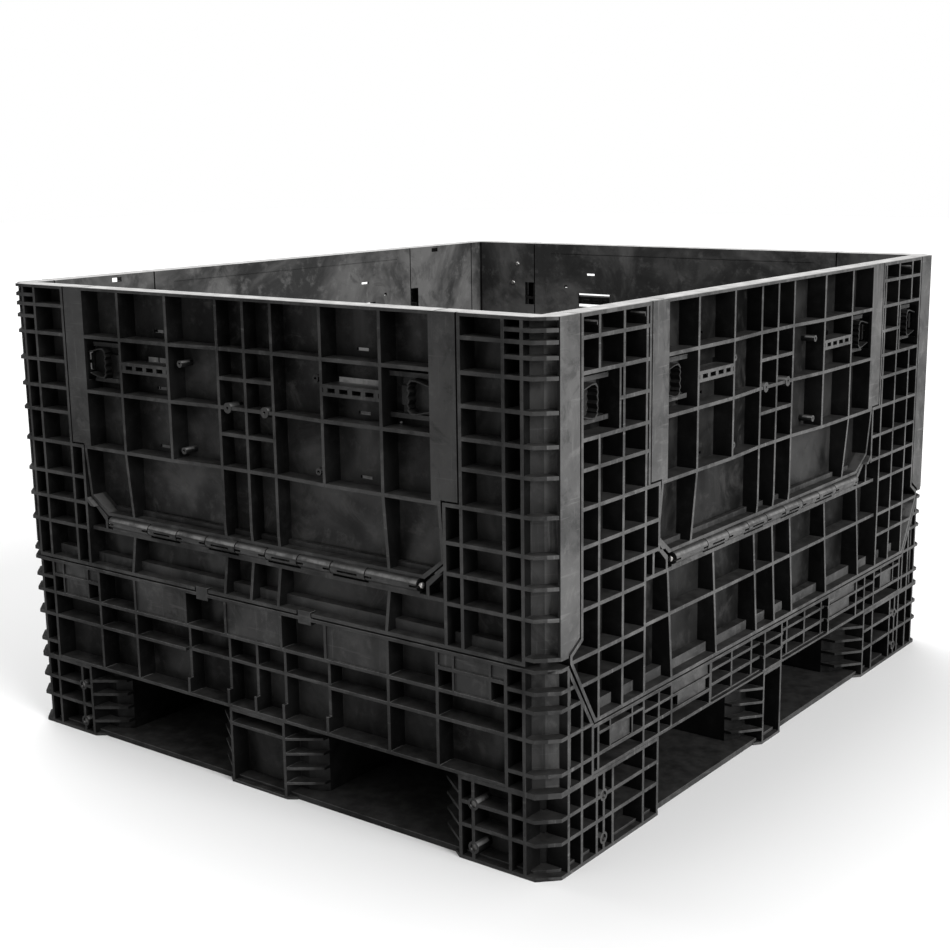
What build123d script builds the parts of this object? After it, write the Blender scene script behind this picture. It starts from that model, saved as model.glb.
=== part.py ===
"""Collapsible bulk container: four-way pallet base, four folding walls and four drop doors.

Millimetres, +Z up. The origin is on the floor, under the middle of the container.
The end walls stand at the -Y and +Y ends, the side walls at -X and +X.
Every panel is described on its own outer face: u runs along the face, z runs up and a
recess is a distance inwards from that face.
"""
from build123d import *
import os

# Overall sizes
WIDTH = 1219.0
LENGTH = 1448.0
HEIGHT = 850.0
HALF_W = WIDTH / 2
HALF_L = LENGTH / 2

# Panel construction
WALL = 40.0
SKIN = 4.0
RIB_DEPTH = WALL - SKIN
RIB = 6.0
PLATE = 5.0
BORDER = 6.0
CORNER = 29.0
SEAM = 3.0
WEB_RECESS = 31.0
# How far a cut runs on past the material it goes through
PAST = 1.0

# Levels
DECK_TOP = 185.0
FORK_TOP = 138.0
END_BASE_TOP = 334.0
SIDE_BASE_TOP = 220.0
END_WALL_FOOT = END_BASE_TOP + SEAM
SIDE_WALL_FOOT = SIDE_BASE_TOP + SEAM
WALL_LEVELS = (814, 763, 714, 665, 620, 562, 504, 456)
CLOSE_LEVELS = (831, 792)
SILL = 409.0
SHOULDER = 562.0
SIDE_LOWER_LEVELS = (SHOULDER, 504, 456)
SIDE_UPPER_LEVELS = (814, 763, 665, 620)
LATCH_LEVEL = 714

# Columns: u of the upright ribs
COLUMN_EDGE = 450.0
LOWER_EDGE = 418.0
POST_INNER = 529.0
POST_OUTER = 562.0
FLANGE_EDGE = HALF_L - 78.0

# Drop door, the same on all four walls. A flange along each side laps over the wall.
DOOR_HALF = 444.0
DOOR_BODY = 400.0
FLANGE = 5.0
REBATE = 6.5
DOOR_WAIST = 412.0
DOOR_TOE = 370.0
DOOR_FOOT = 437.0
DOOR_WAIST_Z = 470.0
DOOR_STEP_Z = SHOULDER + RIB
DOOR_REST = SEAM + 1
WALL_STEP_Z = DOOR_STEP_Z + DOOR_REST
DOOR_CORNER_RISE = 2.0
DOOR_CORNER_RUN = 4.0
LEDGE_RISE = 15.0
LEDGE_THICK = 8.0
DOOR_RIBS = (299.0, 63.0)
UPPER_RIB = 177.0
DOOR_MIDDLE_LEVELS = (LATCH_LEVEL, 620)
MIDDLE_RECESS = 8.0
WINDOW_LEVELS = (708.6, 721.4)
WINDOW_POSTS = (186.0, 210.5, 237.0, 264.0, 290.0)
WINDOW_BAND = 5.5
WINDOW_POST_WIDTH = 9.0
STRAP_SLOT = (180.0, 270.0, 700.0, 732.0)
PEEP_HOLES = ((303.0, 311.0, 669.0, 674.0), (303.0, 311.0, 744.0, 750.0))
GROOVE = (-350.0, 350.0, 825.0, 827.0)
GROOVE_DEPTH = 1.0
BOLT_BOSSES = ((157.0, 580.0), (157.0, 730.0), (-157.0, 580.0), (-157.0, 730.0))
RING_BOSSES = ((43.0, 665.0), (-43.0, 665.0))
BOLT_BOSS_R = 6.0
RING_BOSS_R = 9.0
BOSS_HOLE_R = 2.5
BOSS_FLOOR = 10.0
BOSS_STEP = 1.0
VALLEY = 10.0

# Door hinge
HINGE_Z = 426.0
HINGE_RECESS = 11.0
BARREL_R = 10.5
ROD_R = 3.0
ROD_HOLE_R = 3.08
HINGE_END = 360.0
ROD_STANDS_OUT = 4.0
WALL_KNUCKLES = ((-HINGE_END, -256), (-180, -109), (-35, 35), (109, 180), (256, HINGE_END))
DOOR_KNUCKLES = ((-254, -182), (-107, -37), (37, 107), (182, 254))
KNUCKLE_SLOT = 3.5
LONG_SLOT = 42.0
SHORT_SLOT = 14.0

# Wall hinge, inside the foot of each wall
WALL_HINGE_RISE = 10.0
WALL_HINGE_RECESS = 33.0
WALL_BARREL_R = 7.0
WALL_HINGE_CLEAR = 9.0
WALL_FOOT_COVER = 19.0
END_HINGES = (-400.0, -150.0, 150.0, 400.0)
SIDE_HINGES = (-480.0, -240.0, 0.0, 240.0, 480.0)
KNUCKLE_HALF = 20.0
KNUCKLE_GAP = 1.5
KNUCKLE_REACH = 40.0
WEB_RISE = 11.0
WEB_DROP = 2.0

# Latches. Each slides in two C-shaped guides, and stands drawn back in its open position.
PLATE_LOW = 685.0
PLATE_HIGH = 749.0
PULL_LOW = 690.0
PULL_HIGH = 744.0
BOLT_LOW = 702.0
BOLT_HIGH = 732.0
BOLT_NEAR = 20.0
BOLT_FAR = 28.0
PLATE_NEAR = 24.0
PULL_NEAR = 6.0
PULL_WALL = 3.0
PULL_TAIL = 20.0
PULL_CUT = 7.0
PULL_BACK = 16.0
PULL_LEAN = 1.0
SCALLOP_PITCH = 12.0
SCALLOP_RUN = 5.0
SCALLOP_DEPTH = 3.0
BOLT_STANDS_OUT = 1.5
LATCH_TRAVEL = 11.0
SLOT_CLEAR = 0.7
KEEPER_CLEAR = 2.0
KEEPER_DEPTH = LATCH_TRAVEL + 5
GUIDE_NEAR = 20.0
GUIDE_WALL = 3.0
GUIDE_LIP = 4.5
GUIDE_CLEAR = 0.6
PULL_GRIP = 345.0
PULL_OPEN = 391.0
CORNER_GRIP = 587.0
CORNER_OPEN = 632.0
CORNER_TIP = FLANGE_EDGE - SEAM + BOLT_STANDS_OUT
LATCH_POST = 537.0
POCKET = (403.0, 430.0, 698.0, 753.0)
DRAIN_U = 235.0
DRAIN_LEVELS = (573.0, 676.0, 776.0)
DRAIN_HALF = 12.0
DRAIN_HEIGHT = 5.0

# Side wall's own ribs
SIDE_POST = 460.0
SIDE_MID_POST = 526.0
SIDE_OUTER_POST = 594.0
SIDE_SILL_RIBS = (373.0, 221.0, 72.0)
SIDE_LOW_LEVEL = 292.0
RIM_SLOT = (485.0, 508.0, 836.0, 845.0)
LATCH_CELL = (665.0, 763.0)
TOP_BOSS_Z = 832.0
TOP_BOSS_R = 5.0
TOP_BOSS_RECESS = 2.0
EAR_TOP = 348.0
EAR_SHOULDER = 366.0
NOTCH_U = 605.0

# Placard frames on the base
PLACARD_END = (430.0, 500.0)
PLACARD_SIDE = (495.0, 560.0)
PLACARD_RIB = 4.5

# Ribs of the skirts, the upper half of the pallet base
END_SKIRT_RIBS = (398.0, 299.0, 166.0, 66.0)
END_SKIRT_LEVELS = (268.0, 223.0)
END_PLACARD_LEVEL = 304.0
END_HOLLOW = (-170.0, 170.0, 171.0, 265.0)
SIDE_SKIRT_RIBS = (594.0, 460.0, 412.0, 371.0, 240.0, 222.0, 147.0, 72.0, 34.0)
SIDE_SKIRT_LEVEL = 168.0
SIDE_HOLLOW = (40.0, 234.0, 142.0, 214.0)
SIDE_THIN_LEVELS = ((202.0, 460.0, 594.0), (194.0, 0.0, 460.0))
LABEL_PANEL = (250.0, 345.0, 168.0, 194.0)
LABEL_RANGE = (240.0, 371.0)
# Cover panels: recess of their front and of their back
END_COVER = (3.0, 7.0)
SIDE_COVER = (4.0, 8.0)

# Locating tabs on the base, under the end walls
TAB_LOW = 107.0
TAB_HIGH = 136.0
TAB_RISE = 11.0
TAB_DEPTH = 12.0
TAB_CLEAR = 2.0

# Foot of the flange on an end wall's corner columns
FLANGE_LAP = 2.0
BEVEL_RUN = 30.0
BEVEL_RISE = 19.0

# Pallet base
FOOT_FACE_END = 437.0
FOOT_FACE_SIDE = 412.0
FLANK_RUN_END = 53.0
FLANK_RUN_SIDE = 49.0
FLANK_DEPTH = 38.0
MID_FACE_END = 66.0
MID_FACE_SIDE = 37.0
BASE_NOTCH = 607.0
EAR_U = 672.0
EAR_Z = 336.0
RECESSED = 8.0
SKID_TOP = 10.0
SKID_RECESS = 12.0
SKID_CLEAR = 0.5
FLANK_LEVELS = (0.0, 26.5, 53.0, 79.5, 106.0)
FOOT_LEVELS = (58.0, 96.0)
MID_FOOT_LEVEL = 110.0
DECK_RIBS_X = 10
DECK_RIBS_Y = 12
PIN_PLACES_END = ((465.0, 24.0), (465.0, 96.0))
PIN_PLACES_SIDE = ((-578.0, 24.0), (-578.0, 96.0))
CENTRE_HALF_X = 119.0
CENTRE_HALF_Y = 86.0
FLANK_RIB = 5.0
CORNER_UPRIGHTS_END = (440.0, 465.0, 535.0, 562.0)
CORNER_UPRIGHTS_SIDE = (415.0, 460.0, 552.0, 578.0, 598.0, 640.0, 676.0)
POST_UPRIGHTS_SIDE = (640.0, 676.0)
POST_LEVELS = (138.0, 168.0, 223.0, 268.0, 297.0)
LIP_WIDTH = 7.0
LIP_DROP = 12.0
PIN_BOSS_R = 10.0
PIN_HOLE_R = 6.1
PIN_R = 6.0
PIN_LENGTH = 30.0
PIN_RECESS = 3.0
END_CORE_STEP = 20.0
SIDE_CORE_STEP = 18.0
CORE_RUN = 14.0
CORE_RUN_BACK = 30.0
CORE_FACE_STEP = 25.0
CORE_SIDE_STEP = 8.0
CORE_SIDE_RUN = 16.0
CORE_SIDE_RISE = 12.0

END = Plane(origin=(0, -HALF_L, 0), x_dir=(1, 0, 0), z_dir=(0, -1, 0))
SIDE = Plane(origin=(HALF_W, 0, 0), x_dir=(0, 1, 0), z_dir=(1, 0, 0))

os.makedirs("parts", exist_ok=True)


# ---------------------------------------------------------------- helpers


def upright(u, z_low, z_high, thick=RIB):
    """One upright strip, centred on u."""
    return (u - thick / 2, u + thick / 2, z_low, z_high)


def level(z, u_low, u_high, thick=RIB):
    """One level strip, centred on z."""
    return (u_low, u_high, z - thick / 2, z + thick / 2)


def mirrored(strips):
    """The strips and their images across the middle of the face."""
    return list(strips) + [(-high, -low, z_low, z_high) for low, high, z_low, z_high in strips]


def prism(face, near, far, strips=(), shape=None, keep=None, lose=None):
    """Strips and a polygon, cut to an outline, made solid from recess near to recess far."""
    with BuildPart() as block:
        with BuildSketch(face.offset(-near)):
            if shape:
                Polygon(*shape)
            for u_low, u_high, z_low, z_high in strips:
                with Locations(((u_low + u_high) / 2, (z_low + z_high) / 2)):
                    Rectangle(u_high - u_low, z_high - z_low)
            if keep:
                Polygon(*keep, mode=Mode.INTERSECT)
            if lose:
                Polygon(*lose, mode=Mode.SUBTRACT)
        extrude(amount=near - far)
    return block.part


def border_room(face, shape, border):
    """The room inside a border of the given width, from the face back to the skin."""
    with BuildPart() as room:
        with BuildSketch(face.offset(PAST)):
            Polygon(*shape)
            offset(amount=-border, kind=Kind.INTERSECTION, mode=Mode.REPLACE)
        extrude(amount=-RIB_DEPTH - PAST)
    return room.part


def profile_bar(face, points, u_low, u_high):
    """A bar along the face. Its section is given as (recess, z) points."""
    start = face.from_local_coords((u_high, 0, 0))
    section = Plane(origin=start, x_dir=face.z_dir, z_dir=-face.x_dir)
    with BuildPart() as bar:
        with BuildSketch(section):
            Polygon(*[(-recess, z) for recess, z in points])
        extrude(amount=u_high - u_low)
    return bar.part


def rod(face, recess, z, radius, u_low, u_high):
    """A round bar along the face."""
    start = face.from_local_coords((u_high, 0, 0))
    section = Plane(origin=start, x_dir=face.z_dir, z_dir=-face.x_dir)
    with BuildPart() as bar:
        with BuildSketch(section):
            with Locations((-recess, z)):
                Circle(radius)
        extrude(amount=u_high - u_low)
    return bar.part


def plan_plate(z, thick, points):
    """A flat plate with the given plan, from z upwards."""
    with BuildPart() as plate:
        with BuildSketch(Plane.XY.offset(z)):
            Polygon(*points)
        extrude(amount=thick)
    return plate.part


def studs(face, near, far, places, radius, hole=0.0):
    """Round bosses that stand square to the face."""
    with BuildPart() as group:
        with BuildSketch(face.offset(-near)):
            with Locations(*places):
                Circle(radius)
                if hole:
                    Circle(hole, mode=Mode.SUBTRACT)
        extrude(amount=near - far)
    return group.part


def wall_knuckle(face, recess, z, barrel, u_low, u_high, web):
    """A hinge knuckle: a round barrel and the web that carries it. web is (recess, z) points."""
    with BuildPart() as knuckle:
        add(rod(face, recess, z, barrel, u_low, u_high))
        add(profile_bar(face, web, u_low, u_high))
    return knuckle.part


def hinge_bore(face):
    """The bore for a door's hinge rod."""
    return rod(face, HINGE_RECESS, HINGE_Z, ROD_HOLE_R, -HINGE_END - PAST, HINGE_END + PAST)


# ---------------------------------------------------------------- outlines

DOOR_OUTLINE = (
    (-DOOR_BODY, HEIGHT),
    (-DOOR_BODY, DOOR_STEP_Z),
    (-DOOR_WAIST, DOOR_STEP_Z),
    (-DOOR_WAIST, DOOR_WAIST_Z),
    (-DOOR_TOE, DOOR_FOOT),
    (DOOR_TOE, DOOR_FOOT),
    (DOOR_WAIST, DOOR_WAIST_Z),
    (DOOR_WAIST, DOOR_STEP_Z),
    (DOOR_BODY, DOOR_STEP_Z),
    (DOOR_BODY, HEIGHT),
)


def doorway(foot):
    """The doorway in a wall, which is open at the rim. foot is the level of its lowest edge."""
    half = DOOR_BODY + SEAM
    waist = DOOR_WAIST + SEAM
    toe = DOOR_TOE + SEAM
    waist_z = DOOR_WAIST_Z - SEAM
    toe_z = DOOR_FOOT - DOOR_REST
    top = HEIGHT + WALL
    return (
        (-half, top),
        (-half, WALL_STEP_Z),
        (-waist, WALL_STEP_Z),
        (-waist, waist_z),
        (-toe, toe_z),
        (-toe, foot),
        (toe, foot),
        (toe, toe_z),
        (waist, waist_z),
        (waist, WALL_STEP_Z),
        (half, WALL_STEP_Z),
        (half, top),
    )


LIP_TOP = 432.9
RIB_DOORWAY = doorway(SILL + RIB / 2)
SKIN_DOORWAY = doorway(LIP_TOP)


def valley(face, foot_z, top_z, half_width, rise):
    """The sloping cut that takes the ribs back towards the door hinge, above or below it."""
    shoulder = foot_z if rise > 0 else top_z
    deep = top_z if rise > 0 else foot_z
    points = (
        (-PAST, shoulder),
        (0, shoulder),
        (VALLEY, deep),
        (VALLEY, deep + rise),
        (-PAST, deep + rise),
    )
    return profile_bar(face, points, -half_width, half_width)


# ---------------------------------------------------------------- shared wall features


def doorway_ribs():
    """The ribs that frame a doorway, on the wall's side of it."""
    diagonal_low = DOOR_FOOT - DOOR_REST
    edge = DOOR_BODY + SEAM
    strips = [upright(COLUMN_EDGE, SHOULDER, HEIGHT)]
    strips.append((edge, edge + RIB, WALL_STEP_Z, HEIGHT))
    strips.append((edge, LOWER_EDGE, WALL_STEP_Z, WALL_STEP_Z + RIB))
    strips.append(upright(LOWER_EDGE, SILL, WALL_STEP_Z + RIB))
    corner = (
        (DOOR_WAIST + SEAM, DOOR_WAIST_Z - SEAM),
        (DOOR_WAIST + SEAM + RIB, DOOR_WAIST_Z - SEAM - DOOR_CORNER_RISE),
        (DOOR_TOE + SEAM + RIB, diagonal_low - RIB),
        (DOOR_TOE + SEAM + RIB, SILL),
        (DOOR_TOE + SEAM, SILL),
        (DOOR_TOE + SEAM, diagonal_low),
    )
    return strips, corner


def keeper_slot(face, u_low, u_high):
    """The slot that keeps a latch's bolt."""
    strip = (u_low, u_high, BOLT_LOW - KEEPER_CLEAR, BOLT_HIGH + KEEPER_CLEAR)
    return prism(face, BOLT_NEAR - KEEPER_CLEAR, BOLT_FAR + KEEPER_CLEAR, strips=[strip])


def latch_way(face, edge):
    """The room for a latch in the border rib that it slides through, at both sides of a panel."""
    far = BOLT_FAR + SLOT_CLEAR
    low = PLATE_LOW - GUIDE_CLEAR
    high = PLATE_HIGH + GUIDE_CLEAR
    near = PULL_NEAR - GUIDE_CLEAR
    return prism(face, near, far, strips=mirrored([(edge - BORDER - PAST, edge + PAST, low, high)]))


def door_edges(face):
    """The cuts in a wall for the door: the flange's rebates, the latch pockets and keepers."""
    edge = DOOR_BODY + SEAM
    with BuildPart() as cuts:
        rebate = mirrored([(edge - PAST, DOOR_HALF + SEAM, DOOR_STEP_Z - SEAM, HEIGHT + PAST)])
        add(prism(face, -PAST, REBATE, strips=rebate))
        add(prism(face, RIB_DEPTH - PAST, WALL + PAST, strips=mirrored([POCKET])))
        add(keeper_slot(face, edge - PAST, edge + KEEPER_DEPTH))
        add(keeper_slot(face, -edge - KEEPER_DEPTH, -edge + PAST))
    return cuts.part


def latch_guides(face, u_low, u_high):
    """Two pairs of C-shaped guides, one pair for the latch at each side."""
    low = PLATE_LOW - GUIDE_CLEAR
    high = PLATE_HIGH + GUIDE_CLEAR
    rails = [(u_low, u_high, low - GUIDE_WALL, low + GUIDE_LIP)]
    rails.append((u_low, u_high, high - GUIDE_LIP, high + GUIDE_WALL))
    near = PLATE_NEAR - GUIDE_CLEAR
    far = BOLT_FAR + GUIDE_CLEAR
    with BuildPart() as guides:
        add(prism(face, GUIDE_NEAR, RIB_DEPTH, strips=mirrored(rails)))
        add(prism(face, near, far, strips=mirrored([(u_low, u_high, low, high)])), mode=Mode.SUBTRACT)
    return guides.part


def hinge_knuckles(face):
    """The wall's share of the door hinge."""
    with BuildPart() as knuckles:
        for u_low, u_high in WALL_KNUCKLES:
            web = (
                (VALLEY, SILL),
                (VALLEY, HINGE_Z),
                (HINGE_RECESS + BARREL_R, HINGE_Z),
                (HINGE_RECESS + BARREL_R, SILL),
            )
            add(wall_knuckle(face, HINGE_RECESS, HINGE_Z, BARREL_R, u_low, u_high, web))
        slot_z = (HINGE_Z - KNUCKLE_SLOT, HINGE_Z)
        slots = [(low, low + SHORT_SLOT, *slot_z) for low, high in WALL_KNUCKLES]
        slots += [(high - SHORT_SLOT, high, *slot_z) for low, high in WALL_KNUCKLES]
        add(prism(face, -PAST, HINGE_RECESS, strips=slots), mode=Mode.SUBTRACT)
    return knuckles.part


def foot_knuckles(face, foot_z, stations, base_top=None):
    """Knuckles of the folding hinge: the wall's middle ones, or the base's outer pairs."""
    z = foot_z + WALL_HINGE_RISE
    outer = WALL_HINGE_RECESS - WALL_BARREL_R
    inner = WALL
    with BuildPart() as knuckles:
        for u in stations:
            if base_top is None:
                spans = ((u - KNUCKLE_HALF, u + KNUCKLE_HALF),)
                web_z = z + WEB_RISE
            else:
                near = KNUCKLE_HALF + KNUCKLE_GAP
                spans = ((u - KNUCKLE_REACH, u - near), (u + near, u + KNUCKLE_REACH))
                web_z = base_top - WEB_DROP
            web = ((outer, z), (outer, web_z), (inner, web_z), (inner, z))
            for u_low, u_high in spans:
                add(wall_knuckle(face, WALL_HINGE_RECESS, z, WALL_BARREL_R, u_low, u_high, web))
    return knuckles.part


def foot_channel(face, foot_z, half_width):
    """The channel along a wall's inner foot that clears the base's knuckles."""
    top = foot_z + WALL_HINGE_RISE + WALL_HINGE_CLEAR
    outer = WALL_HINGE_RECESS - WALL_HINGE_CLEAR
    points = (
        (outer, foot_z - PAST),
        (WALL + PAST, foot_z - PAST),
        (WALL + PAST, top),
        (outer, top),
    )
    return profile_bar(face, points, -half_width, half_width)


def foot_cover(face, foot_z, half_width):
    """The plate and ledge that close the foot channel to the outside."""
    top = foot_z + WALL_HINGE_RISE + WALL_HINGE_CLEAR
    near = WALL_FOOT_COVER
    points = (
        (near, foot_z),
        (near, top + SKIN),
        (RIB_DEPTH, top + SKIN),
        (RIB_DEPTH, top),
        (near + SKIN, top),
        (near + SKIN, foot_z),
    )
    return profile_bar(face, points, -half_width, half_width)


def pin_bores(face, foot_z, stations):
    """The bores for the folding hinge's pins."""
    z = foot_z + WALL_HINGE_RISE
    with BuildPart() as bores:
        for u in stations:
            low = u - KNUCKLE_REACH - PAST
            add(rod(face, WALL_HINGE_RECESS, z, ROD_HOLE_R, low, u + KNUCKLE_REACH + PAST))
    return bores.part


def hinge_pins(face, foot_z, stations):
    """The folding hinge's steel pins, one at each station."""
    z = foot_z + WALL_HINGE_RISE
    with BuildPart() as pins:
        for u in stations:
            add(rod(face, WALL_HINGE_RECESS, z, ROD_R, u - KNUCKLE_REACH, u + KNUCKLE_REACH))
    return pins.part


# ---------------------------------------------------------------- corner columns


def corner_plate(z, thick, from_x, depth_y):
    """A level plate round the outside of a corner, in front of the inner skin."""
    return plan_plate(
        z,
        thick,
        (
            (from_x, -HALF_L),
            (HALF_W - CORNER, -HALF_L),
            (HALF_W, -HALF_L + CORNER),
            (HALF_W, -depth_y),
            (HALF_W - WALL, -depth_y),
            (HALF_W - WALL, -HALF_L + WALL),
            (from_x, -HALF_L + WALL),
        ),
    )


def corner_skin(z_low, z_high, from_x, depth_y):
    """The inner angle of a corner and the slanting web behind its chamfer."""
    inner_x = HALF_W - WALL
    inner_y = -HALF_L + WALL
    web_x = POST_OUTER
    web_y = -HALF_L + POST_OUTER - (HALF_W - CORNER) + WEB_RECESS
    run = HALF_W - PLATE - POST_OUTER
    with BuildPart() as skin:
        with BuildSketch(Plane.XY.offset(z_low)):
            Polygon(
                (from_x, inner_y - SKIN),
                (inner_x + SKIN, inner_y - SKIN),
                (inner_x + SKIN, -depth_y),
                (inner_x, -depth_y),
                (inner_x, inner_y),
                (from_x, inner_y),
            )
            Polygon(
                (web_x, web_y),
                (web_x + run, web_y + run),
                (web_x + run, web_y + run + RIB),
                (web_x, web_y + RIB),
            )
        extrude(amount=z_high - z_low)
    return skin.part


# ---------------------------------------------------------------- end wall

CORNER_FOOT = 346.0
STRIP_FOOT = 352.0

with BuildPart() as end_column:
    for z in WALL_LEVELS + CLOSE_LEVELS + (SILL,):
        add(corner_plate(z - RIB / 2, RIB, POST_OUTER, FLANGE_EDGE))
    add(corner_plate(HEIGHT - PLATE, PLATE, POST_OUTER, FLANGE_EDGE))
    add(corner_plate(CORNER_FOOT, RIB, POST_OUTER, FLANGE_EDGE))
    add(corner_skin(CORNER_FOOT, HEIGHT, POST_OUTER, FLANGE_EDGE))
    flange = [(-HALF_L + CORNER - FLANGE_LAP, -FLANGE_EDGE, STRIP_FOOT, HEIGHT)]
    add(prism(SIDE, 0, PLATE, strips=flange))
    edge = [(-FLANGE_EDGE - BORDER, -FLANGE_EDGE, CORNER_FOOT, HEIGHT)]
    add(prism(SIDE, 0, RIB_DEPTH, strips=edge))
    bevel = (
        (-FLANGE_EDGE - BEVEL_RUN, CORNER_FOOT - PAST),
        (-FLANGE_EDGE - BEVEL_RUN, STRIP_FOOT),
        (-FLANGE_EDGE + PAST, STRIP_FOOT + BEVEL_RISE),
        (-FLANGE_EDGE + PAST, CORNER_FOOT - PAST),
    )
    add(prism(SIDE, -PAST, WALL + PAST, shape=bevel), mode=Mode.SUBTRACT)
    add(keeper_slot(SIDE, -FLANGE_EDGE - KEEPER_DEPTH, -FLANGE_EDGE + PAST), mode=Mode.SUBTRACT)

with BuildPart() as end_columns:
    add(end_column.part)
    mirror(about=Plane.YZ)

with BuildPart() as end_wall:
    half = POST_OUTER + RIB / 2
    outline = ((-half, END_WALL_FOOT), (half, END_WALL_FOOT), (half, HEIGHT), (-half, HEIGHT))
    frame_strips, frame_corner = doorway_ribs()
    uprights = [upright(u, END_WALL_FOOT, HEIGHT) for u in (POST_INNER, POST_OUTER)]
    uprights.append(upright(COLUMN_EDGE, END_WALL_FOOT, SHOULDER))
    uprights.append(upright(LOWER_EDGE, END_WALL_FOOT, SILL))
    uprights += [upright(u, END_WALL_FOOT, SILL) for u in DOOR_RIBS]
    levels = [level(z, LOWER_EDGE, half) for z in WALL_LEVELS if z <= SHOULDER]
    levels += [level(z, DOOR_BODY + SEAM, half) for z in WALL_LEVELS if z > SHOULDER]
    levels += [level(z, POST_INNER, half) for z in CLOSE_LEVELS]
    strips = mirrored(frame_strips + uprights + levels)
    strips.append(upright(0, END_WALL_FOOT, SILL))
    strips.append(level(SILL, -half, half))
    strips.append((-half, half, END_WALL_FOOT, END_WALL_FOOT + RIB))
    mirror_corner = tuple((-u, z) for u, z in frame_corner)
    add(prism(END, 0, RIB_DEPTH, strips=strips, keep=outline, lose=RIB_DOORWAY))
    add(prism(END, 0, RIB_DEPTH, shape=frame_corner))
    add(prism(END, 0, RIB_DEPTH, shape=mirror_corner))
    add(prism(END, RIB_DEPTH, WALL, shape=outline, lose=SKIN_DOORWAY))
    rim = mirrored([(DOOR_BODY + SEAM, half, HEIGHT - PLATE, HEIGHT)])
    add(prism(END, 0, WALL, strips=rim))
    add(valley(END, END_WALL_FOOT + RIB, SILL + RIB / 2, LOWER_EDGE - RIB / 2, WALL), mode=Mode.SUBTRACT)
    add(end_columns.part)
    add(foot_channel(END, END_WALL_FOOT, POST_INNER), mode=Mode.SUBTRACT)
    add(foot_cover(END, END_WALL_FOOT, POST_INNER))
    tab_foot = END_WALL_FOOT - PAST
    tab_top = END_WALL_FOOT + TAB_RISE
    tab_room = mirrored([(TAB_LOW - TAB_CLEAR, TAB_HIGH + TAB_CLEAR, tab_foot, tab_top)])
    add(prism(END, -PAST, TAB_DEPTH + TAB_CLEAR, strips=tab_room), mode=Mode.SUBTRACT)
    add(hinge_knuckles(END))
    add(foot_knuckles(END, END_WALL_FOOT, END_HINGES))
    add(pin_bores(END, END_WALL_FOOT, END_HINGES), mode=Mode.SUBTRACT)
    add(hinge_bore(END), mode=Mode.SUBTRACT)
    add(door_edges(END), mode=Mode.SUBTRACT)


# ---------------------------------------------------------------- side wall

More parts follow.
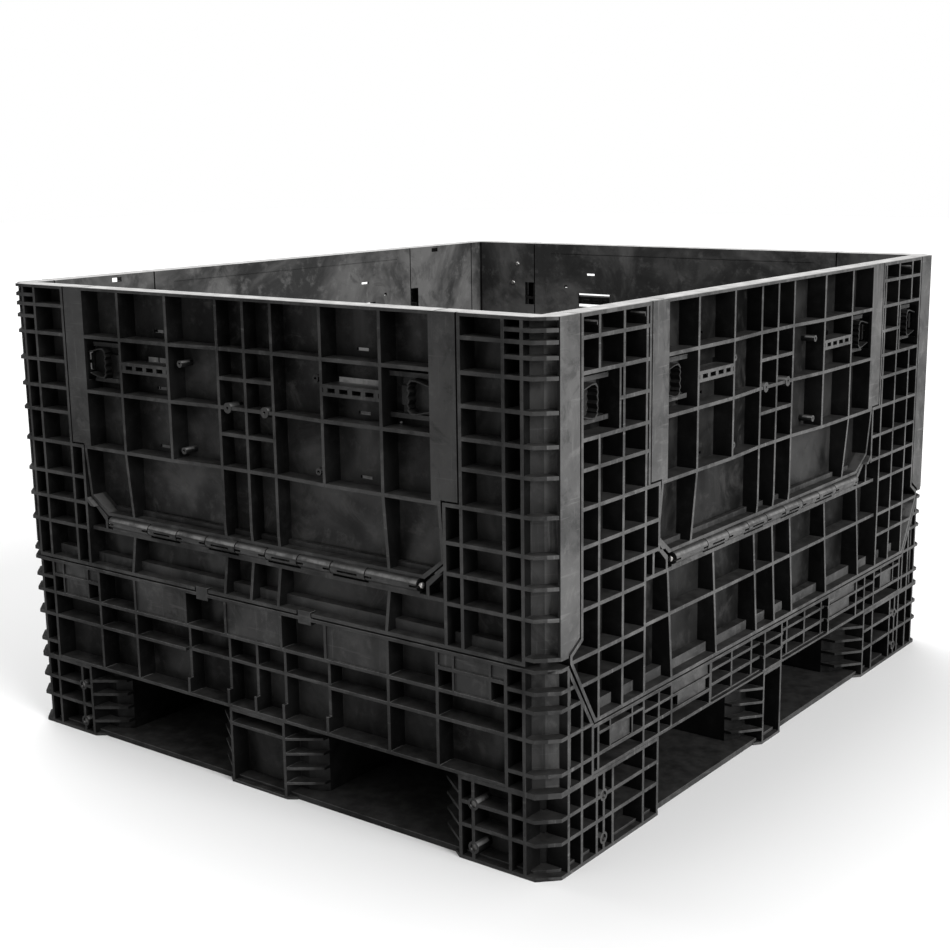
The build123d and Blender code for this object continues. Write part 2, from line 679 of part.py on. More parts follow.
with BuildPart() as side_wall:
    outline = (
        (-FLANGE_EDGE + SEAM, HEIGHT),
        (-FLANGE_EDGE + SEAM, EAR_SHOULDER),
        (-EAR_U, EAR_TOP),
        (-EAR_U, EAR_Z),
        (-NOTCH_U, SIDE_WALL_FOOT),
        (NOTCH_U, SIDE_WALL_FOOT),
        (EAR_U, EAR_Z),
        (EAR_U, EAR_TOP),
        (FLANGE_EDGE - SEAM, EAR_SHOULDER),
        (FLANGE_EDGE - SEAM, HEIGHT),
    )
    frame_strips, frame_corner = doorway_ribs()
    mirror_corner = tuple((-u, z) for u, z in frame_corner)
    uprights = [upright(u, SIDE_WALL_FOOT, HEIGHT) for u in (SIDE_POST, SIDE_MID_POST)]
    uprights.append(upright(SIDE_OUTER_POST, SIDE_WALL_FOOT, LATCH_CELL[0]))
    uprights.append(upright(SIDE_OUTER_POST, LATCH_CELL[1], HEIGHT))
    uprights.append(upright(LATCH_POST, *LATCH_CELL, PLATE))
    uprights += [upright(u, SIDE_WALL_FOOT, SILL) for u in SIDE_SILL_RIBS]
    levels = [level(z, LOWER_EDGE, FLANGE_EDGE) for z in SIDE_LOWER_LEVELS]
    levels += [level(z, DOOR_BODY + SEAM, FLANGE_EDGE) for z in SIDE_UPPER_LEVELS]
    levels.append(level(LATCH_LEVEL, DOOR_BODY + SEAM, LATCH_POST))
    levels.append(level(SIDE_LOW_LEVEL, SIDE_POST, FLANGE_EDGE))
    strips = mirrored(frame_strips + uprights + levels)
    strips.append(upright(0, SIDE_WALL_FOOT, SILL))
    strips.append(level(SILL, -FLANGE_EDGE, FLANGE_EDGE))
    strips.append(level(EAR_Z, -EAR_U, EAR_U))
    add(prism(SIDE, 0, RIB_DEPTH, shape=outline))
    add(border_room(SIDE, outline, BORDER), mode=Mode.SUBTRACT)
    add(prism(SIDE, 0, RIB_DEPTH, strips=strips, keep=outline))
    add(prism(SIDE, -PAST, WALL + PAST, shape=RIB_DOORWAY), mode=Mode.SUBTRACT)
    add(prism(SIDE, 0, RIB_DEPTH, shape=frame_corner))
    add(prism(SIDE, 0, RIB_DEPTH, shape=mirror_corner))
    add(prism(SIDE, RIB_DEPTH, WALL, shape=outline, lose=SKIN_DOORWAY))
    rim = mirrored([(DOOR_BODY + SEAM, FLANGE_EDGE - SEAM, HEIGHT - PLATE, HEIGHT)])
    add(prism(SIDE, 0, WALL, strips=rim))
    slope_foot = SIDE_WALL_FOOT + BORDER
    add(valley(SIDE, slope_foot, SILL + RIB / 2, SIDE_POST - RIB / 2, WALL), mode=Mode.SUBTRACT)
    add(latch_guides(SIDE, LATCH_POST, FLANGE_EDGE - SEAM))
    add(foot_channel(SIDE, SIDE_WALL_FOOT, EAR_U + PAST), mode=Mode.SUBTRACT)
    add(foot_cover(SIDE, SIDE_WALL_FOOT, NOTCH_U))
    add(hinge_knuckles(SIDE))
    add(foot_knuckles(SIDE, SIDE_WALL_FOOT, SIDE_HINGES))
    top_bosses = [(u, TOP_BOSS_Z) for u in (-SIDE_OUTER_POST, -SIDE_POST, SIDE_POST, SIDE_OUTER_POST)]
    add(studs(SIDE, TOP_BOSS_RECESS, RIB_DEPTH, top_bosses, TOP_BOSS_R))
    add(pin_bores(SIDE, SIDE_WALL_FOOT, SIDE_HINGES), mode=Mode.SUBTRACT)
    add(hinge_bore(SIDE), mode=Mode.SUBTRACT)
    add(door_edges(SIDE), mode=Mode.SUBTRACT)
    rim_slots = mirrored([RIM_SLOT])
    add(prism(SIDE, RIB_DEPTH - PAST, WALL + PAST, strips=rim_slots), mode=Mode.SUBTRACT)
    add(latch_way(SIDE, FLANGE_EDGE - SEAM), mode=Mode.SUBTRACT)


# ---------------------------------------------------------------- drop door

with BuildPart() as door:
    uprights = [upright(u, DOOR_FOOT, HEIGHT) for u in DOOR_RIBS]
    uprights.append(upright(UPPER_RIB, SHOULDER, HEIGHT))
    uprights.append((DOOR_BODY - BORDER, DOOR_BODY, DOOR_STEP_Z, HEIGHT))
    uprights.append((DOOR_WAIST - BORDER, DOOR_WAIST, DOOR_WAIST_Z, DOOR_STEP_Z))
    levels = [level(z, 0, DOOR_BODY) for z in LATCH_CELL]
    levels += [level(z, 0, DOOR_RIBS[1]) for z in DOOR_MIDDLE_LEVELS]
    levels.append(level(SHOULDER, 0, DOOR_WAIST))
    levels.append((DOOR_BODY - BORDER, DOOR_WAIST, SHOULDER, DOOR_STEP_Z))
    levels += [level(z, UPPER_RIB, DOOR_RIBS[0], WINDOW_BAND) for z in WINDOW_LEVELS]
    levels += [upright(u, *WINDOW_LEVELS, WINDOW_POST_WIDTH) for u in WINDOW_POSTS]
    strips = mirrored(uprights + levels)
    strips.append(upright(0, DOOR_FOOT, HEIGHT))
    strips.append((-DOOR_TOE, DOOR_TOE, DOOR_FOOT, DOOR_FOOT + RIB))
    add(prism(END, 0, RIB_DEPTH, strips=strips, keep=DOOR_OUTLINE))
    for side in (-1, 1):
        corner = (
            (side * DOOR_WAIST, DOOR_WAIST_Z),
            (side * (DOOR_WAIST - BORDER), DOOR_WAIST_Z + DOOR_CORNER_RISE),
            (side * (DOOR_TOE - DOOR_CORNER_RUN), DOOR_FOOT + RIB),
            (side * (DOOR_TOE - DOOR_CORNER_RUN), DOOR_FOOT),
            (side * DOOR_TOE, DOOR_FOOT),
        )
        add(prism(END, 0, RIB_DEPTH, shape=corner))
    add(prism(END, RIB_DEPTH, WALL, shape=DOOR_OUTLINE))
    add(prism(END, 0, WALL, strips=[(-DOOR_BODY, DOOR_BODY, HEIGHT - PLATE, HEIGHT)]))
    add(prism(END, 0, FLANGE, strips=mirrored([(DOOR_BODY - BORDER, DOOR_HALF, DOOR_STEP_Z, HEIGHT)])))
    ledge = [(-DOOR_TOE, DOOR_TOE, DOOR_FOOT, DOOR_FOOT + LEDGE_RISE)]
    add(prism(END, RIB_DEPTH - LEDGE_THICK, RIB_DEPTH, strips=ledge))
    add(latch_guides(END, DOOR_RIBS[0], DOOR_BODY - BORDER))
    # The middle ribs stand back a little, and the level ribs slope back to meet them
    middle = DOOR_RIBS[1] + RIB / 2
    hollow = (
        (-UPPER_RIB, -HALF_L - PAST),
        (UPPER_RIB, -HALF_L - PAST),
        (UPPER_RIB, -HALF_L),
        (middle, -HALF_L + MIDDLE_RECESS),
        (-middle, -HALF_L + MIDDLE_RECESS),
        (-UPPER_RIB, -HALF_L),
    )
    hollow_foot = DOOR_FOOT - PAST
    add(plan_plate(hollow_foot, HEIGHT - PLATE - hollow_foot, hollow), mode=Mode.SUBTRACT)
    add(studs(END, MIDDLE_RECESS + BOSS_STEP, RIB_DEPTH, BOLT_BOSSES, BOLT_BOSS_R))
    add(studs(END, MIDDLE_RECESS - BOSS_STEP, RIB_DEPTH, RING_BOSSES, RING_BOSS_R))
    add(valley(END, DOOR_FOOT, SHOULDER - RIB / 2, DOOR_HALF + PAST, -WALL), mode=Mode.SUBTRACT)
    for u_low, u_high in DOOR_KNUCKLES:
        web = (
            (VALLEY, HINGE_Z),
            (VALLEY, DOOR_FOOT + RIB / 2),
            (HINGE_RECESS + BARREL_R, DOOR_FOOT + RIB / 2),
            (HINGE_RECESS + BARREL_R, HINGE_Z),
        )
        add(wall_knuckle(END, HINGE_RECESS, HINGE_Z, BARREL_R, u_low, u_high, web))
    slot_z = (HINGE_Z - KNUCKLE_SLOT, HINGE_Z)
    slots = [upright((low + high) / 2, *slot_z, LONG_SLOT) for low, high in DOOR_KNUCKLES]
    add(prism(END, -PAST, HINGE_RECESS, strips=slots), mode=Mode.SUBTRACT)
    add(hinge_bore(END), mode=Mode.SUBTRACT)
    blind_holes = studs(END, 0, RIB_DEPTH - BOSS_FLOOR, BOLT_BOSSES + RING_BOSSES, BOSS_HOLE_R)
    add(blind_holes, mode=Mode.SUBTRACT)
    openings = [upright(DRAIN_U, z, z + DRAIN_HEIGHT, 2 * DRAIN_HALF) for z in DRAIN_LEVELS]
    openings += [STRAP_SLOT, *PEEP_HOLES]
    add(prism(END, RIB_DEPTH - PAST, WALL + PAST, strips=mirrored(openings)), mode=Mode.SUBTRACT)
    add(prism(END, WALL - GROOVE_DEPTH, WALL + PAST, strips=[GROOVE]), mode=Mode.SUBTRACT)
    add(latch_way(END, DOOR_BODY), mode=Mode.SUBTRACT)


# ---------------------------------------------------------------- latches


def latch(face, grip_u, open_u, tip_u):
    """A slide latch: a sliding plate with a D-shaped finger pull and a flat bolt.

    grip_u is the pull's closed side, open_u its open side and tip_u the end of the bolt. The
    bolt slides LATCH_TRAVEL further out, into its keeper.
    """
    way = 1 if tip_u > grip_u else -1

    def pull_outline(inset):
        """The pull's outline, drawn in by inset everywhere but at its open side."""
        side = grip_u + way * inset
        lean = side + way * PULL_LEAN
        cut = side + way * PULL_CUT
        back = side + way * PULL_BACK
        valley_u = side + way * SCALLOP_DEPTH
        end = open_u + way * inset
        low = PULL_LOW + inset
        high = PULL_HIGH - inset
        points = [(end, low + PULL_CUT), (back, low), (cut, low)]
        points.append((lean, low + PULL_CUT - inset / 2))
        for step in (-SCALLOP_PITCH, 0, SCALLOP_PITCH):
            crest_z = middle_z + step
            points += [(valley_u, crest_z - SCALLOP_RUN), (side, crest_z)]
        points.append((valley_u, middle_z + SCALLOP_PITCH + SCALLOP_RUN))
        points.append((lean, high - PULL_CUT + inset / 2))
        points += [(cut, high), (back, high), (end, high - PULL_CUT)]
        return points

    middle_z = (PULL_LOW + PULL_HIGH) / 2
    tail_u = grip_u - way * PULL_TAIL
    plate = (min(tail_u, open_u), max(tail_u, open_u), PLATE_LOW, PLATE_HIGH)
    bolt = (min(tail_u, tip_u), max(tail_u, tip_u), BOLT_LOW, BOLT_HIGH)
    with BuildPart() as slide:
        add(prism(face, PULL_NEAR, BOLT_FAR, shape=pull_outline(0)))
        add(prism(face, BOLT_NEAR, BOLT_FAR, strips=[bolt]))
        add(prism(face, PULL_NEAR - PAST, PLATE_NEAR, shape=pull_outline(PULL_WALL)), mode=Mode.SUBTRACT)
        add(prism(face, PLATE_NEAR, BOLT_FAR, strips=[plate]))
    return slide.part


with BuildPart() as door_latch_high:
    add(latch(END, PULL_GRIP, PULL_OPEN, DOOR_BODY + BOLT_STANDS_OUT))

with BuildPart() as door_latch_low:
    add(latch(END, -PULL_GRIP, -PULL_OPEN, -DOOR_BODY - BOLT_STANDS_OUT))

with BuildPart() as corner_latch_high:
    add(latch(SIDE, CORNER_GRIP, CORNER_OPEN, CORNER_TIP))

with BuildPart() as corner_latch_low:
    add(latch(SIDE, -CORNER_GRIP, -CORNER_OPEN, -CORNER_TIP))

with BuildPart() as hinge_rod:
    add(rod(END, HINGE_RECESS, HINGE_Z, ROD_R, -HINGE_END - ROD_STANDS_OUT, HINGE_END + ROD_STANDS_OUT))


# ---------------------------------------------------------------- pallet base

CORNER_FOOT_PLAN = (
    (FOOT_FACE_END, -HALF_L),
    (HALF_W - CORNER, -HALF_L),
    (HALF_W, -HALF_L + CORNER),
    (HALF_W, -FOOT_FACE_SIDE),
    (HALF_W - FLANK_DEPTH, -FOOT_FACE_SIDE + FLANK_RUN_SIDE),
    (FOOT_FACE_END - FLANK_RUN_END, -FOOT_FACE_SIDE + FLANK_RUN_SIDE),
    (FOOT_FACE_END - FLANK_RUN_END, -HALF_L + FLANK_DEPTH),
)
CORE_PLAN = (
    (FOOT_FACE_END - CORE_FACE_STEP, -HALF_L + RIB_DEPTH),
    (HALF_W - RIB_DEPTH - CORE_RUN, -HALF_L + RIB_DEPTH),
    (HALF_W - RIB_DEPTH, -HALF_L + RIB_DEPTH + CORE_RUN),
    (HALF_W - RIB_DEPTH, -FOOT_FACE_SIDE - CORE_SIDE_STEP),
    (HALF_W - FLANK_DEPTH - CORE_SIDE_RUN, -FOOT_FACE_SIDE + FLANK_RUN_SIDE - CORE_SIDE_RISE),
    (HALF_W - FLANK_DEPTH - CORE_RUN_BACK, -FOOT_FACE_SIDE + FLANK_RUN_SIDE),
    (FOOT_FACE_END - FLANK_RUN_END, -FOOT_FACE_SIDE + FLANK_RUN_SIDE),
    (FOOT_FACE_END - FLANK_RUN_END, -HALF_L + FLANK_DEPTH + CORE_RUN),
)


def hollow_block(z_low, z_high, plan, wall):
    """A thin-walled block with a closed top, open underneath."""
    with BuildPart() as block:
        with BuildSketch(Plane.XY.offset(z_low)):
            Polygon(*plan)
        extrude(amount=z_high - z_low)
        with BuildSketch(Plane.XY.offset(z_low - PAST)):
            Polygon(*plan)
            offset(amount=-wall, kind=Kind.INTERSECTION)
        extrude(amount=z_high - z_low - wall + PAST, mode=Mode.SUBTRACT)
    return block.part


def skid_plan(margin=0.0):
    """The plan of the skid: boards as wide as the feet they run under, and a centre cross."""
    outer_w = HALF_W - SKID_RECESS
    outer_l = HALF_L - SKID_RECESS
    inner_w = FOOT_FACE_END - FLANK_RUN_END - margin
    inner_l = FOOT_FACE_SIDE - FLANK_RUN_SIDE - margin
    with BuildSketch() as plan:
        Rectangle(2 * (outer_w + margin), 2 * (outer_l + margin))
        chamfer(plan.vertices(), CORNER)
        Rectangle(2 * inner_w, 2 * inner_l, mode=Mode.SUBTRACT)
        Rectangle(2 * (CENTRE_HALF_X + margin), 2 * outer_l)
        Rectangle(2 * outer_w, 2 * (CENTRE_HALF_Y + margin))
    return plan.sketch


with BuildPart() as skid_frame:
    add(skid_plan())
    extrude(amount=SKID_TOP)

with BuildPart() as skid_room:
    add(skid_plan(SKID_CLEAR))
    extrude(amount=SKID_TOP + PAST)


def face_grid(face, strips, near=0.0):
    """Upright and level ribs on one face of the base, back to the core."""
    return prism(face, near, RIB_DEPTH, strips=strips)


def flank_ribs(plan, core, region):
    """Level ribs round the slanting flank of a foot, inside a rectangular region of its plan."""
    x_low, x_high, y_low, y_high = region
    with BuildPart() as ribs:
        for z in FLANK_LEVELS:
            with BuildSketch(Plane.XY.offset(z)):
                Polygon(*plan)
                with Locations(((x_low + x_high) / 2, (y_low + y_high) / 2)):
                    Rectangle(x_high - x_low, y_high - y_low, mode=Mode.INTERSECT)
                Polygon(*core, mode=Mode.SUBTRACT)
            extrude(amount=FLANK_RIB)
    return ribs.part


with BuildPart() as corner:
    # The foot
    add(hollow_block(0, FORK_TOP, CORE_PLAN, SKIN))
    for z in (RIB / 2, *FOOT_LEVELS, FORK_TOP - RIB / 2):
        add(corner_plate(z - RIB / 2, RIB, FOOT_FACE_END, FOOT_FACE_SIDE))
    flank_x = FOOT_FACE_END - FLANK_RUN_END
    flank_y = -FOOT_FACE_SIDE + FLANK_RUN_SIDE
    end_flank = (flank_x, FOOT_FACE_END + RIB, -HALF_L, -HALF_L + 2 * FLANK_DEPTH)
    side_flank = (HALF_W - 2 * FLANK_DEPTH, HALF_W, -FOOT_FACE_SIDE - RIB, flank_y)
    add(flank_ribs(CORNER_FOOT_PLAN, CORE_PLAN, end_flank))
    add(flank_ribs(CORNER_FOOT_PLAN, CORE_PLAN, side_flank))
    add(face_grid(END, [upright(u, 0, FORK_TOP) for u in CORNER_UPRIGHTS_END]))
    add(face_grid(SIDE, [upright(-u, 0, FORK_TOP) for u in CORNER_UPRIGHTS_SIDE]))
    # The post above it
    add(corner_skin(FORK_TOP, END_BASE_TOP, POST_INNER - RIB / 2, BASE_NOTCH))
    for z in POST_LEVELS:
        add(corner_plate(z - RIB / 2, RIB, POST_INNER - RIB / 2, BASE_NOTCH))
    add(corner_plate(END_BASE_TOP - RIB, RIB, POST_INNER - RIB / 2, BASE_NOTCH))
    add(face_grid(END, [upright(u, FORK_TOP, END_BASE_TOP) for u in (POST_INNER, POST_OUTER)]))
    post_places = (BASE_NOTCH + RIB / 2, *POST_UPRIGHTS_SIDE)
    add(face_grid(SIDE, [upright(-u, FORK_TOP, END_BASE_TOP) for u in post_places]))
    # The slope that the side wall's ear drops past, and the lip along it
    slope_u = EAR_U + SEAM
    notch_u = NOTCH_U + SEAM / 2
    slope = (
        (-slope_u, END_BASE_TOP + PAST),
        (-slope_u, EAR_Z - PLATE),
        (-notch_u, SIDE_BASE_TOP),
        (-BASE_NOTCH + PAST, SIDE_BASE_TOP),
        (-BASE_NOTCH + PAST, END_BASE_TOP + PAST),
    )
    add(prism(SIDE, -PAST, WALL + PAST, shape=slope), mode=Mode.SUBTRACT)
    lip = (
        (-slope_u, EAR_Z - PLATE),
        (-notch_u, SIDE_BASE_TOP),
        (-notch_u - LIP_WIDTH, SIDE_BASE_TOP),
        (-slope_u, EAR_Z - PLATE - LIP_DROP),
    )
    add(prism(SIDE, 0, WALL, shape=lip))
    add(skid_room.part, mode=Mode.SUBTRACT)
    add(studs(END, 0, RIB_DEPTH, PIN_PLACES_END, PIN_BOSS_R))
    add(studs(SIDE, 0, RIB_DEPTH, PIN_PLACES_SIDE, PIN_BOSS_R))
    add(studs(END, -PAST, PIN_LENGTH, PIN_PLACES_END, PIN_HOLE_R), mode=Mode.SUBTRACT)
    add(studs(SIDE, -PAST, PIN_LENGTH, PIN_PLACES_SIDE, PIN_HOLE_R), mode=Mode.SUBTRACT)

with BuildPart() as corner_pins:
    add(studs(END, PIN_RECESS, PIN_LENGTH, PIN_PLACES_END, PIN_R))
    add(studs(SIDE, PIN_RECESS, PIN_LENGTH, PIN_PLACES_SIDE, PIN_R))

END_MID_PLAN = (
    (-MID_FACE_END, -HALF_L),
    (MID_FACE_END, -HALF_L),
    (MID_FACE_END + FLANK_RUN_END, -HALF_L + FLANK_DEPTH),
    (MID_FACE_END + FLANK_RUN_END, -FOOT_FACE_SIDE + FLANK_RUN_SIDE),
    (-MID_FACE_END - FLANK_RUN_END, -FOOT_FACE_SIDE + FLANK_RUN_SIDE),
    (-MID_FACE_END - FLANK_RUN_END, -HALF_L + FLANK_DEPTH),
)
END_MID_CORE = (
    (-MID_FACE_END - END_CORE_STEP, -HALF_L + RIB_DEPTH),
    (MID_FACE_END + END_CORE_STEP, -HALF_L + RIB_DEPTH),
    (MID_FACE_END + FLANK_RUN_END, -HALF_L + FLANK_DEPTH + CORE_RUN),
    (MID_FACE_END + FLANK_RUN_END, -FOOT_FACE_SIDE + FLANK_RUN_SIDE),
    (-MID_FACE_END - FLANK_RUN_END, -FOOT_FACE_SIDE + FLANK_RUN_SIDE),
    (-MID_FACE_END - FLANK_RUN_END, -HALF_L + FLANK_DEPTH + CORE_RUN),
)
SIDE_MID_PLAN = (
    (HALF_W, -MID_FACE_SIDE),
    (HALF_W, MID_FACE_SIDE),
    (HALF_W - FLANK_DEPTH, MID_FACE_SIDE + FLANK_RUN_SIDE),
    (FOOT_FACE_END - FLANK_RUN_END, MID_FACE_SIDE + FLANK_RUN_SIDE),
    (FOOT_FACE_END - FLANK_RUN_END, -MID_FACE_SIDE - FLANK_RUN_SIDE),
    (HALF_W - FLANK_DEPTH, -MID_FACE_SIDE - FLANK_RUN_SIDE),
)
SIDE_MID_CORE = (
    (HALF_W - RIB_DEPTH, -MID_FACE_SIDE - SIDE_CORE_STEP),
    (HALF_W - RIB_DEPTH, MID_FACE_SIDE + SIDE_CORE_STEP),
    (HALF_W - FLANK_DEPTH - CORE_RUN, MID_FACE_SIDE + FLANK_RUN_SIDE),
    (FOOT_FACE_END - FLANK_RUN_END, MID_FACE_SIDE + FLANK_RUN_SIDE),
    (FOOT_FACE_END - FLANK_RUN_END, -MID_FACE_SIDE - FLANK_RUN_SIDE),
    (HALF_W - FLANK_DEPTH - CORE_RUN, -MID_FACE_SIDE - FLANK_RUN_SIDE),
)


def middle_foot(plan, core, face, half, back, levels):
    """A middle foot: a hollow core, a framed outer face and ribs round its slanting flanks."""
    with BuildPart() as foot:
        add(hollow_block(0, FORK_TOP, core, SKIN))
        x_low = min(x for x, _ in plan)
        x_high = max(x for x, _ in plan)
        y_low = min(y for _, y in plan)
        y_high = max(y for _, y in plan)
        if face is END:
            region = (x_low, x_high, y_low, y_low + back)
        else:
            region = (x_high - back, x_high, y_low, y_high)
        add(flank_ribs(plan, core, region))
        strips = mirrored([(half - RIB, half, 0, FORK_TOP)])
        room = prism(face, -PAST, RIB_DEPTH, strips=[(-half, half, RIB, FORK_TOP)])
        add(room, mode=Mode.SUBTRACT)
        strips += [level(z, -half, half) for z in levels]
        strips.append((-half, half, FORK_TOP - RIB, FORK_TOP))
        add(face_grid(face, strips))
        add(skid_room.part, mode=Mode.SUBTRACT)
    return foot.part


with BuildPart() as end_foot:
    foot_levels = (MID_FOOT_LEVEL,)
    add(middle_foot(END_MID_PLAN, END_MID_CORE, END, MID_FACE_END, 2 * FLANK_DEPTH, foot_levels))

with BuildPart() as side_foot:
    add(middle_foot(SIDE_MID_PLAN, SIDE_MID_CORE, SIDE, MID_FACE_SIDE, 2 * FLANK_DEPTH, ()))

with BuildPart() as centre_foot:
    quarters = ((-1, -1), (1, -1), (1, 1), (-1, 1))
    centre_plan = tuple((sx * CENTRE_HALF_X, sy * CENTRE_HALF_Y) for sx, sy in quarters)
    add(hollow_block(0, FORK_TOP, centre_plan, SKIN))
    add(skid_room.part, mode=Mode.SUBTRACT)

with BuildPart() as deck:
    inner_w = HALF_W - WALL
    inner_l = HALF_L - WALL
    with BuildSketch(Plane.XY.offset(DECK_TOP - RIB)):
        Rectangle(2 * inner_w, 2 * inner_l)
    extrude(amount=RIB)
    with BuildSketch(Plane.XY.offset(FORK_TOP)):
        with GridLocations(2 * (inner_w - RIB / 2) / DECK_RIBS_X, 0, DECK_RIBS_X + 1, 1):
            Rectangle(RIB, 2 * inner_l)
        with GridLocations(0, 2 * (inner_l - RIB / 2) / DECK_RIBS_Y, 1, DECK_RIBS_Y + 1):
            Rectangle(2 * inner_w, RIB)
    extrude(amount=DECK_TOP - RIB - FORK_TOP)

with BuildPart() as end_skirt:
    half = POST_INNER - RIB / 2
    top = END_BASE_TOP - RIB
    edge_rib, cover_edge, cover_start, middle_rib = END_SKIRT_RIBS
    panel_z, lower_z = END_SKIRT_LEVELS
    uprights = [upright(u, FORK_TOP, END_BASE_TOP) for u in END_SKIRT_RIBS]
    uprights += [upright(u, panel_z, END_BASE_TOP, PLACARD_RIB) for u in PLACARD_END]
    levels = [level(z, 0, half) for z in END_SKIRT_LEVELS]
    levels += [(0, half, top, END_BASE_TOP), (0, half, FORK_TOP, FORK_TOP + RIB)]
    levels.append(level(END_PLACARD_LEVEL, edge_rib, half))
    strips = mirrored(uprights + levels)
    strips.append(upright(0, FORK_TOP, panel_z))
    add(prism(END, 0, RIB_DEPTH, strips=strips))
    add(prism(END, RIB_DEPTH, WALL, strips=[(-half, half, FORK_TOP, END_BASE_TOP)]))
    add(prism(END, 0, WALL, strips=[(-half, half, top, END_BASE_TOP)]))
    add(prism(END, -PAST, RECESSED, strips=[END_HOLLOW]), mode=Mode.SUBTRACT)
    covers = [(cover_start, cover_edge, panel_z, top), (*PLACARD_END, panel_z, END_PLACARD_LEVEL)]
    covers.append((edge_rib, half, END_PLACARD_LEVEL, top))
    covers = mirrored(covers)
    covers.append((-middle_rib, middle_rib, panel_z, top))
    add(prism(END, *END_COVER, strips=covers))
    tabs = mirrored([(TAB_LOW, TAB_HIGH, top - RIB, END_WALL_FOOT + TAB_RISE - SEAM)])
    add(prism(END, 0, TAB_DEPTH, strips=tabs))
    add(foot_knuckles(END, END_WALL_FOOT, END_HINGES, END_BASE_TOP))
    add(pin_bores(END, END_WALL_FOOT, END_HINGES), mode=Mode.SUBTRACT)

with BuildPart() as side_skirt:
    half = BASE_NOTCH
    top = SIDE_BASE_TOP - RIB
    outer_level, inner_level = SIDE_THIN_LEVELS
    uprights = [upright(u, FORK_TOP, SIDE_BASE_TOP) for u in SIDE_SKIRT_RIBS]
    uprights += [upright(u, SIDE_SKIRT_LEVEL, SIDE_BASE_TOP, PLACARD_RIB) for u in PLACARD_SIDE]
    levels = [(0, half, top, SIDE_BASE_TOP), (0, half, FORK_TOP, FORK_TOP + RIB)]
    levels.append(level(SIDE_SKIRT_LEVEL, 0, half))
    levels += [level(z, low, high, PLATE) for z, low, high in SIDE_THIN_LEVELS]
    add(prism(SIDE, 0, RIB_DEPTH, strips=mirrored(uprights + levels)))
    add(prism(SIDE, RIB_DEPTH, WALL, strips=[(-half, half, FORK_TOP, SIDE_BASE_TOP)]))
    add(prism(SIDE, 0, WALL, strips=[(-half, half, top, SIDE_BASE_TOP)]))
    add(prism(SIDE, -PAST, RECESSED, strips=mirrored([SIDE_HOLLOW])), mode=Mode.SUBTRACT)
    covers = [(*LABEL_RANGE, inner_level[0], top), LABEL_PANEL]
    covers.append((*PLACARD_SIDE, SIDE_SKIRT_LEVEL, outer_level[0]))
    add(prism(SIDE, *SIDE_COVER, strips=mirrored(covers)))
    add(foot_knuckles(SIDE, SIDE_WALL_FOOT, SIDE_HINGES, SIDE_BASE_TOP))
    add(pin_bores(SIDE, SIDE_WALL_FOOT, SIDE_HINGES), mode=Mode.SUBTRACT)

with BuildPart() as end_pins:
    add(hinge_pins(END, END_WALL_FOOT, END_HINGES))

with BuildPart() as side_pins:
    add(hinge_pins(SIDE, SIDE_WALL_FOOT, SIDE_HINGES))


# ---------------------------------------------------------------- all the pieces in place

HALF_TURN = Location((0, 0, 0), (0, 0, 180))
TO_SIDE = Location((HALF_W - HALF_L, 0, 0), (0, 0, 90))
TO_FAR_SIDE = HALF_TURN * TO_SIDE
HERE = Location((0, 0, 0))


def place(name, piece, spot=HERE):
    """Write one piece, at its place, under its own name."""
    with BuildPart() as placed:
        with Locations(spot):
            add(piece)
    placed.part.label = name
    export_step(placed.part, "parts/" + name + ".step")


for name, spot in (("front", HERE), ("rear", HALF_TURN)):
    place("end_wall_" + name, end_wall.part, spot)
    place("end_wall_" + name + "_pins", end_pins.part, spot)
    place("base_skirt_" + name, end_skirt.part, spot)

for name, spot in (("right", HERE), ("left", HALF_TURN)):
    place("side_wall_" + name, side_wall.part, spot)
    place("side_wall_" + name + "_pins", side_pins.part, spot)
    place("base_skirt_" + name, side_skirt.part, spot)
    place("corner_latch_" + name + "_a", corner_latch_low.part, spot)
    place("corner_latch_" + name + "_b", corner_latch_high.part, spot)

door_spots = (("front", HERE), ("rear", HALF_TURN), ("right", TO_SIDE), ("left", TO_FAR_SIDE))
for name, spot in door_spots:
    place("door_" + name, door.part, spot)
    place("door_" + name + "_hinge_rod", hinge_rod.part, spot)
    place("door_" + name + "_latch_a", door_latch_low.part, spot)
    place("door_" + name + "_latch_b", door_latch_high.part, spot)

with BuildPart() as other_corner:
    add(corner.part)
    mirror(about=Plane.YZ, mode=Mode.REPLACE)

place("base_corner_front_right", corner.part)
place("base_corner_rear_left", corner.part, HALF_TURN)
place("base_corner_front_left", other_corner.part)
place("base_corner_rear_right", other_corner.part, HALF_TURN)

with BuildPart() as middle_feet:
    add(end_foot.part)
    add(side_foot.part)
    add(centre_foot.part)
    with Locations(HALF_TURN):
        add(end_foot.part)
        add(side_foot.part)

with BuildPart() as skid_pins:
    add(corner_pins.part)
    mirror(about=Plane.YZ)
    mirror(about=Plane.XZ)

place("base_deck", deck.part)
place("base_middle_feet", middle_feet.part)
place("skid_frame", skid_frame.part)
place("skid_pins", skid_pins.part)
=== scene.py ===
"""Looks of a collapsible bulk container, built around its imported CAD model.

Metres, in the row frame: +Z up, the floor at z = 0, the end walls at -Y and +Y and the
side walls at -X and +X.
"""
import math

import bmesh
import bpy
from mathutils import Matrix, Vector


